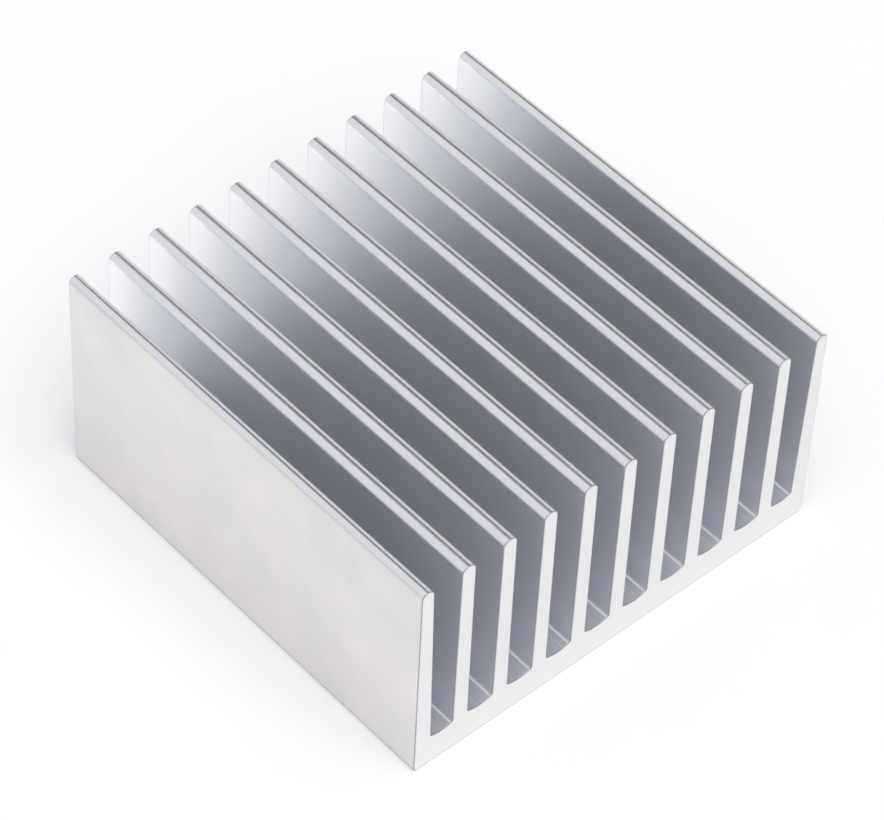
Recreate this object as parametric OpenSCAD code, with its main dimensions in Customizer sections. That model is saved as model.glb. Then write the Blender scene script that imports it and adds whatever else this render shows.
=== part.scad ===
// Extruded aluminium heat sink: a flat base with straight fins, in one piece.
// X runs across the fins, Y along the extrusion, Z up from the underside.
// The origin is at the centre of the underside.

/* [Overall size] */
// Width across the fins
sink_w = 40; // [28:0.5:80]
// Length along the extrusion
sink_l = 40; // [5:0.5:200]
// Height from the underside to the fin tips
sink_h = 20; // [8:0.5:50]

/* [Base] */
// Thickness of the base at the foot of the fins
base_t = 3.1; // [1.5:0.1:6]
// Depth of the dish in the floor between two fins
floor_dip = 0.24; // [0.05:0.01:0.4]
// Radius along the two long bottom edges
bottom_r = 0.4; // [0.1:0.05:0.8]

/* [Fins] */
// Number of fins
fin_count = 11; // [3:1:14]
// Thickness of an inner fin at its foot
fin_root_t = 1.46; // [1:0.02:2]
// Thickness of an inner fin at its tip
fin_tip_t = 1.28; // [0.6:0.02:1.6]
// Thickness of an end fin at its foot
end_root_t = 1.54; // [1:0.02:2.2]
// Thickness of an end fin at its tip
end_tip_t = 1.14; // [0.6:0.02:2]
// Radius on the long edges of the fin tips
tip_r = 0.58; // [0.1:0.02:0.6]
// Fillet radius at the foot of each fin
root_r = 0.16; // [0.05:0.01:0.3]

/* [Hidden] */
$fn = 72;

// Narrowest flat left between the two rounded edges of a thin fin's tip
tip_flat = 0.04;
// How far an arc runs into the leaning face that it rounds or meets, so that they cross cleanly
bite = 0.0002;
// Segments of a full circle of the wide, shallow dish
dish_fn = 360;
// Height of the fins above the base
fin_h = sink_h - base_t;
// Gap between two fins at their tips, the same all the way across
tip_gap = (sink_w - 2 * end_tip_t - (fin_count - 2) * fin_tip_t) / (fin_count - 1);
// Distance between the middles of two inner fins
pitch = tip_gap + fin_tip_t;
// Level inside the base from which the fins and the floors rise
core_z = base_t / 2;

// Each face of a fin is a pair: its X at the foot and its X at the tip.
// The outer faces of the two end fins are upright, and all others lean.
function fin_middle(i) = -sink_w / 2 + end_tip_t - fin_tip_t / 2 + i * pitch;

function left_face(i) =
    i == 0 ? [-sink_w / 2, -sink_w / 2]
    : i == fin_count - 1 ? [sink_w / 2 - end_root_t, sink_w / 2 - end_tip_t]
    : [fin_middle(i) - fin_root_t / 2, fin_middle(i) - fin_tip_t / 2];

// The section is symmetric, so a right face is the mirror of a left one
function right_face(i) = -left_face(fin_count - 1 - i);

// X of a face at a height
function face_x(face, z) = face[0] + (face[1] - face[0]) * (z - base_t) / fin_h;

// Angle by which a face leans back over its fin: side is 1 on a right face, -1 on a left one
function lean(face, side) = atan(side * (face[0] - face[1]) / fin_h);

// Radius at the tip, limited by the thickness of the fin there
function tip_radius(t) = min(tip_r, (t - tip_flat) / 2);

// Middle of the arc that touches both a face and the top of the fin
function tip_centre(face, side, r) =
    let (a = lean(face, side))
    [face[1] + side * r * (tan(a) - 1 / cos(a)), sink_h - r];

// Where the face ends, on that arc
function tip_touch(face, side, r) =
    let (a = lean(face, side))
    let (reach = a == 0 ? r : r - bite)
    tip_centre(face, side, r) + reach * [side * cos(a), sin(a)];

// One fin: two faces and a flat top with rounded edges
module fin(i) {
    left = left_face(i);
    right = right_face(i);
    r = tip_radius(right[1] - left[1]);
    left_c = tip_centre(left, -1, r);
    right_c = tip_centre(right, 1, r);
    polygon([
        [face_x(left, core_z), core_z],
        [face_x(right, core_z), core_z],
        tip_touch(right, 1, r),
        right_c,
        [right_c.x, sink_h],
        [left_c.x, sink_h],
        left_c,
        tip_touch(left, -1, r)
    ]);
    for (c = [left_c, right_c]) {
        translate(c) circle(r);
    }
}

// Radius of the dish that is floor_dip deep between two feet half_w either side of its middle
function dish_radius(half_w) = (half_w * half_w + floor_dip * floor_dip) / (2 * floor_dip);

// Middle of the fillet between the dish and a wall that stands half_w away and leans by a.
// It lies root_r from the wall and dish_r - root_r from the dish's hub, so its height
// above the foot is the lower root of a quadratic.
function fillet_centre(half_w, a) =
    let (dish_r = dish_radius(half_w))
    let (hub_z = dish_r - floor_dip)
    let (reach = half_w + bite - root_r / cos(a))
    let (k2 = 1 + tan(a) * tan(a))
    let (k1 = reach * tan(a) - hub_z)
    let (k0 = reach * reach + hub_z * hub_z - pow(dish_r - root_r + bite, 2))
    let (rise = (-k1 - sqrt(k1 * k1 - k2 * k0)) / k2)
    [reach + rise * tan(a), rise];

// Floor between fin i and the next one: a shallow dish, with a fillet up to each wall
module gap_floor(i) {
    near = right_face(i);
    far = left_face(i + 1);
    half_w = (far[0] - near[0]) / 2;
    dish_r = dish_radius(half_w);
    hub = [0, dish_r - floor_dip];
    far_lean = lean(far, -1);
    near_lean = lean(near, 1);
    far_c = fillet_centre(half_w, far_lean);
    near_c = fillet_centre(half_w, near_lean);
    far_wall = far_c + root_r * [cos(far_lean), -sin(far_lean)];
    near_wall = near_c + root_r * [cos(near_lean), -sin(near_lean)];
    // the dish reaches from one fillet to the other, so its wedge passes both their middles
    past = 2 * dish_r / (dish_r - root_r);
    translate([(near[0] + far[0]) / 2, base_t])
    difference() {
        polygon([
            [-near_wall.x - root_r, core_z - base_t],
            [far_wall.x + root_r, core_z - base_t],
            [far_wall.x + root_r, far_wall.y],
            far_wall,
            far_c,
            [-near_c.x, near_c.y],
            [-near_wall.x, near_wall.y],
            [-near_wall.x - root_r, near_wall.y]
        ]);
        intersection() {
            translate(hub) circle(dish_r, $fn = dish_fn);
            polygon([
                hub,
                hub + past * ([-near_c.x, near_c.y] - hub),
                hub + past * (far_c - hub)
            ]);
        }
        translate(far_c) circle(root_r);
        translate([-near_c.x, near_c.y]) circle(root_r);
    }
}

// Underside of the base, with its two rounded edges
module base_core() {
    top = (core_z + base_t - floor_dip) / 2;
    translate([bottom_r - sink_w / 2, 0]) square([sink_w - 2 * bottom_r, top]);
    translate([-sink_w / 2, bottom_r]) square([sink_w, top - bottom_r]);
    for (side = [-1, 1]) {
        translate([side * (sink_w / 2 - bottom_r), bottom_r]) circle(bottom_r);
    }
}

// The comb that the die gives: base, fins, and the floors between them
module comb_section() {
    base_core();
    for (i = [0 : fin_count - 1]) {
        fin(i);
    }
    for (i = [0 : fin_count - 2]) {
        gap_floor(i);
    }
}

module heat_sink() {
    color("#CFCFD2")
    rotate([90, 0, 0])
    linear_extrude(height = sink_l, center = true)
    comb_section();
}

heat_sink();
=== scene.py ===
"""Extruded aluminium heat sink: a flat base with a comb of straight fins.

X runs across the fins, Y along the extrusion and Z up from the underside.
All lengths are in metres.
"""

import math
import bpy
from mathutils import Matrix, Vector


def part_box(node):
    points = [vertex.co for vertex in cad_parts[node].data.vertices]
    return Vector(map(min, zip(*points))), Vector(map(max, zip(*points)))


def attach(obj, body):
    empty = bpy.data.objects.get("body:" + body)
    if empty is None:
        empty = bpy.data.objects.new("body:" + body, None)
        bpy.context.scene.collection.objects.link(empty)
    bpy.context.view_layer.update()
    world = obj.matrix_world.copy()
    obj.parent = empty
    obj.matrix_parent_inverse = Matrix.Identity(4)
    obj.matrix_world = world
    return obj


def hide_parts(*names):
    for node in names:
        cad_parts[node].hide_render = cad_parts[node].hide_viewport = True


bl_info = {
    "name": "Extruded Heat Sink",
    "version": (1, 0, 0),
    "blender": (4, 5, 0),
    "location": "View3D > Sidebar > Heat Sink",
    "description": "Models and finishes an extruded heat sink, and lights it for a product picture",
    "category": "Object",
}

import bmesh
import bpy
from bpy.props import FloatProperty, FloatVectorProperty, IntProperty, PointerProperty
from mathutils import Matrix, Vector

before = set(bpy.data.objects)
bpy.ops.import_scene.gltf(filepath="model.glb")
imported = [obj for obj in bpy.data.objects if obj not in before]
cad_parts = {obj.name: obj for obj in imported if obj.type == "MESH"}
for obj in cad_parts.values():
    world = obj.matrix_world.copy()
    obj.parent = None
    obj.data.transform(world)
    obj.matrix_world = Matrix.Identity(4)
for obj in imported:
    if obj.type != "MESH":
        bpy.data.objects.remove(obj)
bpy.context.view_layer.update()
LOW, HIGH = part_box("heat_sink")

MM = 0.001
NEAR = 1e-7  # two lengths closer than this are the same
ASIDE = MM / 10  # a point further off than this is another point of the section

# segments of each rounding of the section
DISH_SEGMENTS = 12
FILLET_SEGMENTS = 5
TIP_SEGMENTS = 12
BOTTOM_SEGMENTS = 6
EDGE_SEGMENTS = 2
DISH_MARGIN = MM / 50  # straight part that is left between a dish and its fillet

# the finishes, in the order of the body's materials
FIN, FLOOR, SKIN, SAWN, RIM, TIP = range(6)
FLOOR_SLOPE = math.radians(20)  # the floor's finish ends where the metal slopes more than this

# how much red, green and blue the patterns leave or add
STREAK_DARK = (0.72, 0.72, 0.72)
STREAK_LIGHT = (1.1, 1.1, 1.1)
OXIDE_DULL = (0.95, 0.955, 0.965)
OXIDE_CLEAR = (1.03, 1.03, 1.03)

# the stage, in metres
TABLE_SIDE = 6
LAMP_PLACE = Vector((-0.1, -0.5, 0.95))
LAMP_SIDE = 1.0
# each card's name, place and side: one darkens what the flat tips mirror,
# and the others what the broken edges mirror
FLAGS = (
    ("flag_behind", (0.466, 0.488, 0.738), 0.3),
    ("flag_front", (0.466, -0.738, 0.488), 0.5),
    ("flag_back", (0.5, 0.85, 0.25), 0.5),
)
SENSOR_WIDTH = 36.0  # in millimetres
BOUNCES = 24  # light zigzags up to ten times between two fins, and is lost where it may not


# ---------------------------------------------------------------- properties


def length(name, description, millimetres):
    """A length property, given in millimetres and kept in metres."""
    return FloatProperty(
        name=name, description=description, default=millimetres * MM,
        min=0.0, precision=5, subtype="DISTANCE", unit="LENGTH",
    )


def colour(name, description, code):
    """A colour property, given as an sRGB hex code and kept as linear light."""
    return FloatVectorProperty(
        name=name, description=description, default=linear(code),
        size=4, min=0.0, max=1.0, subtype="COLOR",
    )


def ratio(name, description, value):
    """A number from 0 to 1."""
    return FloatProperty(name=name, description=description, default=value, min=0.0, max=1.0)


def linear(code):
    """Linear RGBA of an sRGB hex code such as #E8E8EA."""
    channels = [int(code[i : i + 2], 16) / 255 for i in (1, 3, 5)]
    light = [c / 12.92 if c <= 0.04045 else ((c + 0.055) / 1.055) ** 2.4 for c in channels]
    return (*light, 1.0)


class HeatSinkSizes(bpy.types.PropertyGroup):
    sink_w: length("Width", "Width across the fins", (HIGH.x - LOW.x) / MM)
    sink_l: length("Length", "Length along the extrusion", (HIGH.y - LOW.y) / MM)
    sink_h: length("Height", "Height from the underside to the fin tips", (HIGH.z - LOW.z) / MM)
    base_t: length("Base thickness", "Thickness of the base at the foot of the fins", 3.1)
    floor_dip: length("Floor dip", "Depth of the dish in the floor between two fins", 0.24)
    bottom_r: length("Bottom edge radius", "Radius along the two long bottom edges", 0.4)
    fin_count: IntProperty(name="Fins", description="Number of fins", default=11, min=3, max=14)
    fin_root_t: length("Fin foot", "Thickness of an inner fin at its foot", 1.46)
    fin_tip_t: length("Fin tip", "Thickness of an inner fin at its tip", 1.28)
    end_root_t: length("End fin foot", "Thickness of an end fin at its foot", 1.54)
    end_tip_t: length("End fin tip", "Thickness of an end fin at its tip", 1.14)
    tip_r: length("Tip radius", "Radius on the long edges of the fin tips", 0.58)
    tip_flat: length("Tip flat", "Narrowest flat left on top of a thin fin", 0.04)
    root_r: length("Root fillet", "Fillet radius at the foot of each fin", 0.16)
    edge_break: length("Edge break", "Width of the broken edge round each sawn end", 0.07)


class HeatSinkFinish(bpy.types.PropertyGroup):
    fin_metal: colour("Fin metal", "Colour of the drawn aluminium inside the comb", "#FBFCFE")
    # painted shade: the floors' colour is set darker than the fins' metal, to darken the gaps
    # between the fins
    floor_metal_painted_shade: colour("Floor metal", "Colour of the coarser aluminium on the floors", "#D3D5DF")
    # painted shade: the outer skin's colour is set darker and warmer than the fins' metal
    side_metal_painted_shade: colour("Side metal", "Colour of the handled outer skin", "#E3E0E0")
    # painted shade: the broken edges are coloured dark to draw a shaded line round each end
    edge_metal_painted_shade: colour("Edge metal", "Colour of the broken edges round the ends", "#A9AAB0")
    sawn: colour("Sawn metal", "Colour of the bare aluminium where it is sawn", "#EAEAEB")
    fin_roughness: ratio("Fin satin", "Roughness of the faces of the fins", 0.36)
    tip_roughness: ratio("Tip satin", "Roughness of the rounded fin tips", 0.24)
    side_roughness: ratio("Side satin", "Roughness of the outer skin", 0.38)
    floor_roughness: ratio("Floor satin", "Roughness of the floors between the fins", 0.72)
    sawn_roughness: ratio("Sawn satin", "Roughness of the sawn ends", 0.38)
    edge_roughness: ratio("Edge satin", "Roughness of the broken edges", 0.45)
    die_line_gap: length("Die line gap", "Distance between two die lines", 0.14)
    cloud_size: length("Cloud size", "Width of a cloud in the oxide of the outer skin", 6)
    saw_line_gap: length("Saw mark gap", "Distance between two saw marks", 0.22)
    saw_radius: length("Saw radius", "Radius of the blade that cut the ends", 150)


class HeatSinkStudio(bpy.types.PropertyGroup):
    table: colour("Table", "Colour of the matt table top", "#FEFEFE")
    room: colour("Room", "Colour of the pale room above the table", "#DCDCE1")
    lamp: colour("Lamp", "Colour of the softbox", "#FFFEF9")
    lamp_power: FloatProperty(
        name="Lamp power", description="Power of the softbox", default=6.2, min=0.0,
        subtype="POWER", unit="POWER",
    )
    matt: ratio("Matt", "Roughness of the table and of the cards", 0.9)
    flag: colour("Flags", "Colour of the dark cards that shade parts of the room", "#2C2D31")
    azimuth: FloatProperty(
        name="Azimuth", description="Turn of the camera about the vertical, from the front",
        default=math.radians(-43.7), subtype="ANGLE", unit="ROTATION",
    )
    elevation: FloatProperty(
        name="Elevation", description="Height of the camera above the table, as an angle",
        default=math.radians(47.5), subtype="ANGLE", unit="ROTATION",
    )
    roll: FloatProperty(
        name="Roll", description="Turn of the camera about its own line of sight",
        default=math.radians(3.1), subtype="ANGLE", unit="ROTATION",
    )
    aim: length("Aim", "Height of the point that the camera looks at", 8.5)
    distance: length("Distance", "Distance from the camera to the point that it looks at", 312)
    lens: FloatProperty(
        name="Lens", description="Focal length of the camera, in millimetres",
        default=166.5, min=10.0, unit="CAMERA",
    )


# ------------------------------------------------------------ modelling tools


def deselect_everything():
    bpy.ops.object.select_all(action="DESELECT")


def select_in_edit_mode(verts=None, edges=None, faces=None):
    """Selects what passes one test: a vertex by its place, or an edge or face by itself."""
    mesh = bmesh.from_edit_mesh(bpy.context.object.data)
    bpy.ops.mesh.select_mode(type="VERT" if verts else "EDGE" if edges else "FACE")
    bpy.ops.mesh.select_all(action="DESELECT")
    test, members = (
        (lambda v: verts(v.co), mesh.verts) if verts
        else (edges, mesh.edges) if edges
        else (faces, mesh.faces)
    )
    found = 0
    for member in members:
        if test(member):
            member.select_set(True)
            found += 1
    if not found:
        raise RuntimeError("nothing was found to select on " + bpy.context.object.name)
    mesh.select_flush_mode()
    bmesh.update_edit_mesh(bpy.context.object.data)


def close(a, b):
    return abs(a - b) < NEAR


def foot_and_tip(sizes):
    """Each fin as (left foot, right foot, left tip, right tip), in X, from left to right."""
    half = sizes.sink_w / 2
    inner = sizes.fin_count - 2
    gap = (sizes.sink_w - 2 * sizes.end_tip_t - inner * sizes.fin_tip_t) / (sizes.fin_count - 1)
    pitch = gap + sizes.fin_tip_t
    fins = [(-half, -half + sizes.end_root_t, -half, -half + sizes.end_tip_t)]
    for i in range(inner):
        middle = (i - (inner - 1) / 2) * pitch
        foot, tip = sizes.fin_root_t / 2, sizes.fin_tip_t / 2
        fins.append((middle - foot, middle + foot, middle - tip, middle + tip))
    fins.append((half - sizes.end_root_t, half, half - sizes.end_tip_t, half))
    return fins


def draw_comb(sizes):
    """The comb section as one flat face, standing at the front end, in edit mode."""
    front = -sizes.sink_l / 2
    fins = foot_and_tip(sizes)
    deselect_everything()
    bpy.ops.mesh.primitive_plane_add(
        size=1, location=(0, front, sizes.base_t / 2), rotation=(math.pi / 2, 0, 0)
    )
    bpy.ops.object.transform_apply(location=True, rotation=True, scale=True)
    bpy.ops.object.mode_set(mode="EDIT")
    bpy.ops.transform.resize(
        value=(sizes.sink_w, 1, sizes.base_t), center_override=(0, front, sizes.base_t / 2)
    )
    # the base is cut at the feet of the fins, and the fins are drawn up out of it
    cuts = [x for fin in fins for x in fin[:2] if abs(x) < sizes.sink_w / 2 - NEAR]
    for x in cuts:
        bpy.ops.mesh.select_all(action="SELECT")
        bpy.ops.mesh.bisect(plane_co=(x, 0, 0), plane_no=(1, 0, 0))

    def is_foot(edge):
        a, b = (v.co for v in edge.verts)
        middle = (a.x + b.x) / 2
        at_top = close(a.z, sizes.base_t) and close(b.z, sizes.base_t)
        return at_top and any(fin[0] < middle < fin[1] for fin in fins)

    select_in_edit_mode(edges=is_foot)
    rise = sizes.sink_h - sizes.base_t
    bpy.ops.mesh.extrude_edges_move(TRANSFORM_OT_translate={"value": (0, 0, rise)})
    # the faces lean: each tip edge slides in from above its foot
    for fin in fins:
        for foot, tip in zip(fin[:2], fin[2:], strict=True):
            if not close(foot, tip):
                select_in_edit_mode(
                    verts=lambda co, x=foot: close(co.z, sizes.sink_h) and close(co.x, x)
                )
                bpy.ops.transform.translate(value=(tip - foot, 0, 0))
    bpy.ops.mesh.select_mode(type="FACE")
    bpy.ops.mesh.select_all(action="SELECT")
    bpy.ops.mesh.dissolve_limited(angle_limit=math.radians(0.1))


def round_comb(sizes):
    """Dished floors, root fillets, rounded tips and bottom edges, on the flat comb."""

    def is_floor(edge):
        a, b = (v.co for v in edge.verts)
        return close(a.z, sizes.base_t) and close(b.z, sizes.base_t)

    # each floor is bent into a shallow V, whose two legs touch the dish at its ends
    select_in_edit_mode(edges=is_floor)
    bpy.ops.mesh.subdivide(number_cuts=1)
    feet = [x for fin in foot_and_tip(sizes) for x in fin[:2]]
    select_in_edit_mode(
        verts=lambda co: close(co.z, sizes.base_t) and all(abs(co.x - x) > ASIDE for x in feet)
    )
    vee = 2 * sizes.floor_dip
    bpy.ops.transform.translate(value=(0, 0, -vee))
    narrow = min(b[0] - a[1] for a, b in pairs(foot_and_tip(sizes)))
    leg = math.hypot(narrow / 2, vee)
    corner = math.pi / 2 + math.atan2(vee, narrow / 2)
    fillet = sizes.root_r / math.tan(corner / 2)
    # the V's point opens out into the dish
    select_in_edit_mode(verts=lambda co: close(co.z, sizes.base_t - vee))
    bpy.ops.mesh.bevel(offset=leg - fillet - DISH_MARGIN, segments=DISH_SEGMENTS, affect="VERTICES")
    # the feet get their fillets
    select_in_edit_mode(verts=lambda co: close(co.z, sizes.base_t))
    bpy.ops.mesh.bevel(offset=fillet, segments=FILLET_SEGMENTS, affect="VERTICES")
    # each tip is rounded as far as its thickness allows
    for fin in foot_and_tip(sizes):
        left, right = fin[2:]
        select_in_edit_mode(
            verts=lambda co, a=left, b=right: (
                close(co.z, sizes.sink_h) and a - NEAR < co.x < b + NEAR
            )
        )
        radius = min(sizes.tip_r, (right - left - sizes.tip_flat) / 2)
        bpy.ops.mesh.bevel(offset=radius, segments=TIP_SEGMENTS, affect="VERTICES")
    select_in_edit_mode(verts=lambda co: close(co.z, 0))
    bpy.ops.mesh.bevel(offset=sizes.bottom_r, segments=BOTTOM_SEGMENTS, affect="VERTICES")


def pairs(items):
    """Each item with the next one."""
    return list(zip(items, items[1:], strict=False))


def run_out_comb(sizes):
    """The flat comb drawn out along Y, with the edges of both ends broken."""
    half = sizes.sink_l / 2
    bpy.ops.mesh.select_mode(type="FACE")
    bpy.ops.mesh.select_all(action="SELECT")
    bpy.ops.mesh.extrude_region_move(TRANSFORM_OT_translate={"value": (0, sizes.sink_l, 0)})
    bpy.ops.mesh.select_all(action="SELECT")
    bpy.ops.mesh.normals_make_consistent(inside=False)
    select_in_edit_mode(edges=lambda e: all(close(abs(v.co.y), half) for v in e.verts))
    bpy.ops.mesh.bevel(offset=sizes.edge_break, segments=EDGE_SEGMENTS, affect="EDGES")
    bpy.ops.object.mode_set(mode="OBJECT")


# ------------------------------------------------------------------ materials


def node(tree, kind, inputs=None, **settings):
    """Adds a node. Each input is a value, or the output socket that feeds it."""
    made = tree.nodes.new(kind)
    for name, value in settings.items():
        setattr(made, name, value)
    for name, value in (inputs or {}).items():
        if isinstance(value, bpy.types.NodeSocket):
            tree.links.new(value, made.inputs[name])
        else:
            made.inputs[name].default_value = value
    return made


def new_material(name):
    """A material with only its output node."""
    material = bpy.data.materials.new(name)
    material.use_nodes = True
    tree = material.node_tree
    tree.nodes.clear()
    return material, tree, node(tree, "ShaderNodeOutputMaterial")


def cover(tree, out, inputs):
    """Adds the surface shader with its inputs, and joins it to the output."""
    shader = node(tree, "ShaderNodeBsdfPrincipled", inputs)
    tree.links.new(shader.outputs["BSDF"], out.inputs["Surface"])


def between(tree, noise, half, start, end):
    """A noise about 0.5, spread so that half either side of 0.5 runs from start to end."""
    return node(
        tree, "ShaderNodeMapRange",
        {
            "Value": noise, "From Min": 0.5 - half, "From Max": 0.5 + half,
            "To Min": start, "To Max": end,
        },
    ).outputs["Result"]


def shaded(rgba, factors):
    """A colour with its red, green and blue each multiplied by a factor."""
    return [c * factor for c, factor in zip(rgba[:3], factors, strict=True)] + [1.0]


def mixed(tree, factor, first, second):
    """A colour between two others."""
    return node(
        tree, "ShaderNodeMix", {"Factor": factor, "A": first, "B": second}, data_type="RGBA"
    ).outputs["Result"]


def relief(tree, height, strength, depth):
    """A normal for marks of a depth in metres."""
    return node(
        tree, "ShaderNodeBump", {"Height": height, "Strength": strength, "Distance": depth}
    ).outputs["Normal"]


def die_lines(tree, place, gap):
    """Fine lines that the die leaves along the extrusion, as a number about 0.5."""
    across = 1 / gap
    stretched = node(
        tree, "ShaderNodeMapping", {"Vector": place, "Scale": (across, across / 200, across)}
    ).outputs["Vector"]
    return node(
        tree, "ShaderNodeTexNoise",
        {"Vector": stretched, "Scale": 1.0, "Detail": 3.0, "Roughness": 0.6},
    ).outputs["Fac"]


def drawn_aluminium(finish, name, roughness):
    """Aluminium alloy as the die drew it out: smooth and bright.

    A gap mirrors itself up to ten times, so the metal turns to a cool slate grey down there.
    Faint die lines run along it.
    """
    material, tree, out = new_material(name)
    place = node(tree, "ShaderNodeTexCoord").outputs["Object"]
    lines = die_lines(tree, place, finish.die_line_gap)
    satin = between(tree, lines, 0.25, roughness - 0.02, roughness + 0.02)
    cover(tree, out, {"Base Color": finish.fin_metal, "Metallic": 1.0, "Roughness": satin})
    return material


def drawn_floor_aluminium(finish):
    """The same metal on the floors between the fins, where the tongue's blunt end tore it a little.

    It is coarser than the faces of the fins and shows its die lines as streaks. Its colour is set
    darker than the fins' metal as painted shade down in the gaps.
    """
    material, tree, out = new_material("die_drawn_floor_aluminium_painted_shade")
    place = node(tree, "ShaderNodeTexCoord").outputs["Object"]
    lines = die_lines(tree, place, finish.die_line_gap)
    # painted shade: the floor's colour is darker than the fins' metal for the shade in the gaps;
    # the streaks are die lines
    streaks = mixed(
        tree, lines,
        shaded(finish.floor_metal_painted_shade, STREAK_DARK), shaded(finish.floor_metal_painted_shade, STREAK_LIGHT),
    )
    cover(tree, out, {
        "Base Color": streaks, "Metallic": 1.0, "Roughness": finish.floor_roughness,
        "Normal": relief(tree, lines, 0.5, 0.004 * MM),
    })
    return material


def mill_finish_aluminium(finish):
    """The outer skin as extruded: clouded by its oxide, with its colour set darker and faintly
    warmer than the fins' metal as painted shade.
    """
    material, tree, out = new_material("mill_finish_side_aluminium_painted_shade")
    place = node(tree, "ShaderNodeTexCoord").outputs["Object"]
    lines = die_lines(tree, place, finish.die_line_gap)
    clouds = node(
        tree, "ShaderNodeTexNoise",
        {"Vector": place, "Scale": 1 / finish.cloud_size, "Detail": 5.0, "Roughness": 0.55},
    ).outputs["Fac"]
    # painted shade: the skin's base colour is darker than the fins' metal; the clouds are its oxide
    skin = mixed(
        tree, between(tree, clouds, 0.2, 0.0, 1.0),
        shaded(finish.side_metal_painted_shade, OXIDE_DULL), shaded(finish.side_metal_painted_shade, OXIDE_CLEAR),
    )
    satin = between(
        tree, clouds, 0.2, finish.side_roughness + 0.04, finish.side_roughness - 0.03
    )
    cover(tree, out, {
        "Base Color": skin, "Metallic": 1.0, "Roughness": satin,
        "Normal": relief(tree, lines, 0.2, 0.002 * MM),
    })
    return material


def saw_cut_aluminium(finish):
    """The same alloy where a circular saw cut it to length: brighter, with shallow blade arcs."""
    material, tree, out = new_material("saw_cut_aluminium")
    place = node(tree, "ShaderNodeTexCoord").outputs["Object"]
    flat = node(
        tree, "ShaderNodeVectorMath", {0: place, 1: (1, 0, 1)}, operation="MULTIPLY"
    ).outputs["Vector"]
    # the blade's centre lies below and to one side of the cut
    centre = Vector((0.35, 0, -0.93)) * finish.saw_radius
    from_centre = node(
        tree, "ShaderNodeVectorMath", {0: flat, 1: tuple(centre)}, operation="DISTANCE"
    ).outputs["Value"]
    marks = node(
        tree, "ShaderNodeTexNoise",
        {"W": from_centre, "Scale": 1 / finish.saw_line_gap, "Detail": 3.0, "Roughness": 0.65},
        noise_dimensions="1D",
    ).outputs["Fac"]
    satin = between(
        tree, marks, 0.2, finish.sawn_roughness - 0.05, finish.sawn_roughness + 0.05
    )
    cover(tree, out, {
        "Base Color": finish.sawn, "Metallic": 1.0, "Roughness": satin,
        "Normal": relief(tree, marks, 0.3, 0.002 * MM),
    })
    return material


def rim_aluminium_painted_shade(finish):
    """The broken rim of each sawn end: rougher than the sawn face, and coloured dark as a thin line
    of painted shade.
    """
    material, tree, out = new_material("aluminium_edge_painted_shade")
    # painted shade: the rim's dark colour stands in for the shadow along each edge
    cover(tree, out, {
        "Base Color": finish.edge_metal_painted_shade, "Metallic": 1.0, "Roughness": finish.edge_roughness,
    })
    return material


def matt_table(studio):
    """A smooth matt white laminate, which takes a soft shadow and no reflection."""
    material, tree, out = new_material("matt_white_laminate")
    cover(tree, out, {
        "Base Color": studio.table, "Roughness": studio.matt, "Specular IOR Level": 0.1,
    })
    return material


def black_card(studio):
    """Matt black card, as flags are cut from, which is seen only as a dark reflection."""
    material, tree, out = new_material("matt_black_card")
    cover(tree, out, {"Base Color": studio.flag, "Roughness": studio.matt})
    return material


# ------------------------------------------------------------------ operators


def finish_of(face, sizes):
    """Which finish a face has, as a place in the body's list of materials."""
    if abs(face.normal.y) > 0.99:
        return SAWN
    if abs(face.normal.y) > 0.1:
        return RIM
    outside = abs(face.center.x) > sizes.sink_w / 2 - ASIDE
    if outside or face.center.z < sizes.bottom_r:
        return SKIN
    if face.center.z > sizes.sink_h - sizes.tip_r:
        return TIP
    if face.normal.z > math.cos(FLOOR_SLOPE) and face.center.z < sizes.base_t:
        return FLOOR
    return FIN


class HEATSINK_OT_body(bpy.types.Operator):
    """Models the heat sink, finishes it, and lets it stand for the plain one"""

    bl_idname = "heatsink.body"
    bl_label = "Model the Heat Sink"

    def execute(self, context):
        sizes = context.scene.heat_sink_sizes
        finish = context.scene.heat_sink_finish
        draw_comb(sizes)
        round_comb(sizes)
        run_out_comb(sizes)
        body = context.object
        body.name = body.data.name = "heat_sink_body"
        for material in (
            drawn_aluminium(finish, "die_drawn_fin_aluminium", finish.fin_roughness),
            drawn_floor_aluminium(finish),
            mill_finish_aluminium(finish),
            saw_cut_aluminium(finish),
            rim_aluminium_painted_shade(finish),
            drawn_aluminium(finish, "die_drawn_tip_aluminium", finish.tip_roughness),
        ):
            body.data.materials.append(material)
        for face in body.data.polygons:
            face.material_index = finish_of(face, sizes)
        bpy.ops.object.shade_smooth_by_angle(angle=math.radians(50), keep_sharp_edges=False)
        bpy.ops.object.modifier_add(type="WEIGHTED_NORMAL")
        body.modifiers[-1].keep_sharp = True
        body.modifiers[-1].weight = 100
        bpy.ops.object.modifier_apply(modifier=body.modifiers[-1].name)
        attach(body, "root")
        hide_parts("heat_sink")
        return {"FINISHED"}


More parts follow.
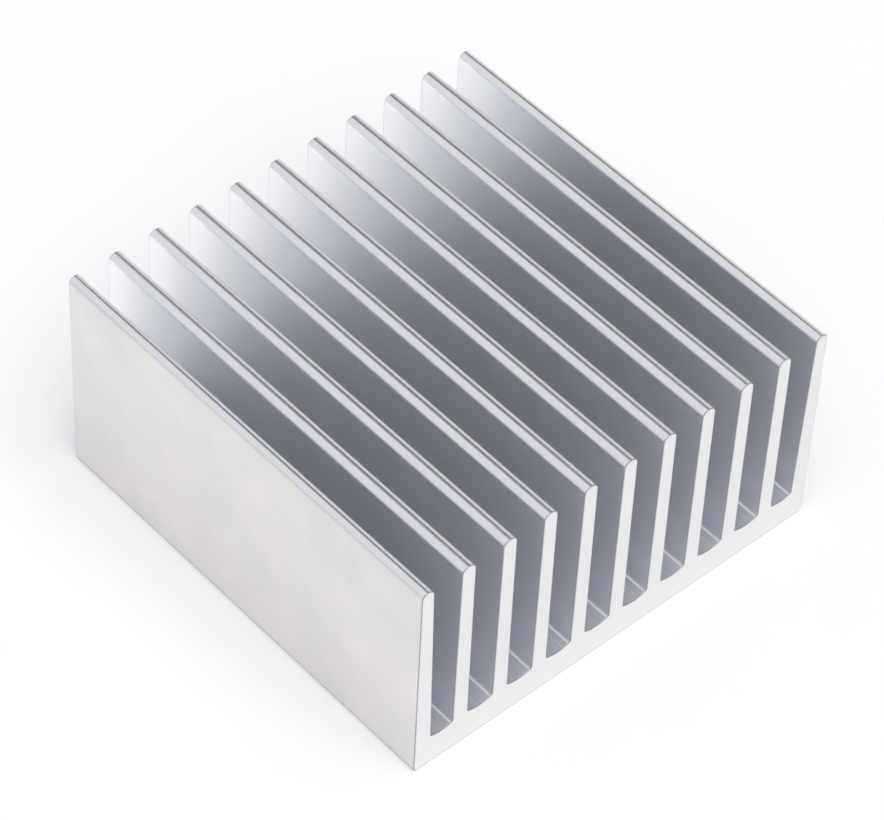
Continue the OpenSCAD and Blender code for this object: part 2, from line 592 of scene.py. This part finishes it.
class HEATSINK_OT_stage(bpy.types.Operator):
    """Sets the table, the softbox, the pale room with its flags, and the camera"""

    bl_idname = "heatsink.stage"
    bl_label = "Set the Stage"

    def execute(self, context):
        studio = context.scene.heat_sink_studio
        self.lay_table(studio)
        self.hang_softbox(studio)
        card = black_card(studio)
        for name, place, side in FLAGS:
            self.hang_flag(name, card, place, side)
        self.paint_room(context, studio)
        self.place_camera(context, studio)
        self.let_light_bounce(context)
        return {"FINISHED"}

    def lay_table(self, studio):
        deselect_everything()
        bpy.ops.mesh.primitive_plane_add(size=TABLE_SIDE, location=(0, 0, LOW.z))
        table = bpy.context.object
        table.name = "table_top"
        table.data.materials.append(matt_table(studio))

    def hang_softbox(self, studio):
        bpy.ops.object.light_add(type="AREA", location=LAMP_PLACE)
        lamp = bpy.context.object
        lamp.name = "softbox_main"
        lamp.data.shape = "SQUARE"
        lamp.data.size = LAMP_SIDE
        lamp.data.energy = studio.lamp_power
        lamp.data.color = studio.lamp[:3]
        lamp.rotation_euler = (-LAMP_PLACE).to_track_quat("-Z", "Y").to_euler()

    def hang_flag(self, name, card, place, side):
        """A square card that faces the heat sink and keeps out of the picture."""
        deselect_everything()
        turn = (-Vector(place)).to_track_quat("Z", "Y").to_euler()
        bpy.ops.mesh.primitive_plane_add(size=side, location=place, rotation=turn)
        flag = bpy.context.object
        flag.name = name
        flag.data.materials.append(card)
        flag.visible_camera = False

    def paint_room(self, context, studio):
        world = bpy.data.worlds.new("pale_room")
        world.use_nodes = True
        tree = world.node_tree
        tree.nodes.clear()
        sky = node(tree, "ShaderNodeBackground", {"Color": studio.room, "Strength": 1.0})
        out = node(tree, "ShaderNodeOutputWorld")
        tree.links.new(sky.outputs["Background"], out.inputs["Surface"])
        context.scene.world = world
        context.scene.view_settings.view_transform = "Standard"

    def place_camera(self, context, studio):
        aim = Vector((0, 0, studio.aim))
        back = Vector((
            math.sin(studio.azimuth) * math.cos(studio.elevation),
            -math.cos(studio.azimuth) * math.cos(studio.elevation),
            math.sin(studio.elevation),
        ))
        bpy.ops.object.camera_add(location=aim + back * studio.distance)
        camera = bpy.context.object
        camera.name = "product_camera"
        turn = (-back).to_track_quat("-Z", "Y").to_matrix().to_4x4()
        camera.rotation_euler = (turn @ Matrix.Rotation(studio.roll, 4, "Z")).to_euler()
        camera.data.lens = studio.lens
        camera.data.sensor_width = SENSOR_WIDTH
        camera.data.clip_start = 0.01
        context.scene.camera = camera

    def let_light_bounce(self, context):
        context.scene.cycles.max_bounces = BOUNCES
        context.scene.cycles.glossy_bounces = BOUNCES


class VIEW3D_PT_heat_sink(bpy.types.Panel):
    bl_label = "Heat Sink"
    bl_idname = "VIEW3D_PT_heat_sink"
    bl_space_type = "VIEW_3D"
    bl_region_type = "UI"
    bl_category = "Heat Sink"

    def draw(self, context):
        for group in ("heat_sink_sizes", "heat_sink_finish", "heat_sink_studio"):
            box = self.layout.box()
            settings = getattr(context.scene, group)
            for name in settings.bl_rna.properties.keys():
                if name not in ("rna_type", "name"):
                    box.prop(settings, name)
        self.layout.operator(HEATSINK_OT_body.bl_idname)
        self.layout.operator(HEATSINK_OT_stage.bl_idname)


CLASSES = (
    HeatSinkSizes, HeatSinkFinish, HeatSinkStudio,
    HEATSINK_OT_body, HEATSINK_OT_stage, VIEW3D_PT_heat_sink,
)


def register():
    for cls in CLASSES:
        bpy.utils.register_class(cls)
    bpy.types.Scene.heat_sink_sizes = PointerProperty(type=HeatSinkSizes)
    bpy.types.Scene.heat_sink_finish = PointerProperty(type=HeatSinkFinish)
    bpy.types.Scene.heat_sink_studio = PointerProperty(type=HeatSinkStudio)


def unregister():
    del bpy.types.Scene.heat_sink_studio
    del bpy.types.Scene.heat_sink_finish
    del bpy.types.Scene.heat_sink_sizes
    for cls in reversed(CLASSES):
        bpy.utils.unregister_class(cls)


def main():
    register()
    bpy.ops.heatsink.body()
    bpy.ops.heatsink.stage()


if __name__ == "__main__":
    main()
